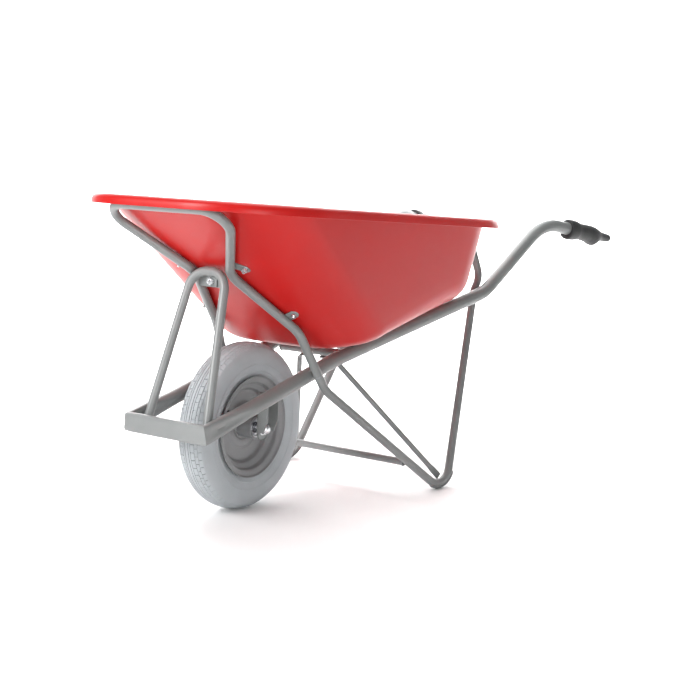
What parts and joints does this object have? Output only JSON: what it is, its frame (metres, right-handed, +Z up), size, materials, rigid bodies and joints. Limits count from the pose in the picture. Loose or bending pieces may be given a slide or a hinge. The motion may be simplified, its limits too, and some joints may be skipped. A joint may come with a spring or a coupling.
{
  "type": "wheelbarrow",
  "caption": "Builder's wheelbarrow: bent tube frame with a flat nose bar, hoop and loop braces, moulded tapered tray, pneumatic wheel with pressed rim, folded legs and moulded handle grips.",
  "frame": {"origin": "on the ground, under the middle of the bounding box", "axes": "+X from the handles towards the wheel, +Y to the left of the person pushing, +Z up"},
  "size_m": [1.6282, 0.585, 0.7026],
  "materials": {
    "frame": "grey powder coat, satin",
    "tray": "red moulded plastic, semi-gloss",
    "tyre": "light grey non-marking rubber, matt",
    "rim": "dark grey painted pressed steel",
    "grip": "black moulded rubber, matt",
    "zinc": "bright zinc plate",
    "steel": "ground bearing steel",
    "rubber": "black rubber"
  },
  "bodies": {
    "frame": {"axle": "zinc", "back_hoop": "frame", "bearing_sleeve": "steel", "crown_bolt": "zinc", "crown_nut": "zinc", "front_hoop": "frame", "front_loop": "frame", "left_axle_bracket": "frame", "left_axle_nut": "zinc", "left_axle_spacer": "zinc", "left_axle_washer": "zinc", "left_bearing_inner": "steel", "left_foot_shoe": "frame", "left_grip": "grip", "left_leg": "frame", "left_lower_tray_bolt": "zinc", "left_lower_tray_nut": "zinc", "left_lower_tray_tab": "frame", "left_strut": "frame", "left_tray_pad": "rubber", "left_upper_tray_bolt": "zinc", "left_upper_tray_nut": "zinc", "left_upper_tray_tab": "frame", "leg_crossbar": "frame", "loop_tab": "frame", "main_frame": "frame", "right_axle_bracket": "frame", "right_axle_nut": "zinc", "right_axle_spacer": "zinc", "right_axle_washer": "zinc", "right_bearing_inner": "steel", "right_foot_shoe": "frame", "right_grip": "grip", "right_leg": "frame", "right_lower_tray_bolt": "zinc", "right_lower_tray_nut": "zinc", "right_lower_tray_tab": "frame", "right_strut": "frame", "right_tray_pad": "rubber", "right_upper_tray_bolt": "zinc", "right_upper_tray_nut": "zinc", "right_upper_tray_tab": "frame", "tray": "tray", "tray_crossbar": "frame", "waist_strap": "frame"},
    "wheel": {"tyre": "tyre", "inner_tube": "rubber", "rim_left": "rim", "rim_right": "rim", "hub": "rim", "left_bearing_outer": "steel", "right_bearing_outer": "steel", "left_bearing_balls": "steel", "right_bearing_balls": "steel", "valve_stem": "rubber", "valve_cap": "zinc"}
  },
  "joints": [
    {"name": "wheel_spin", "type": "hinge", "parent": "frame", "child": "wheel", "pos_m": [0.4879, 0, 0.19], "axis": [0, 1, 0], "continuous": true}
  ]
}
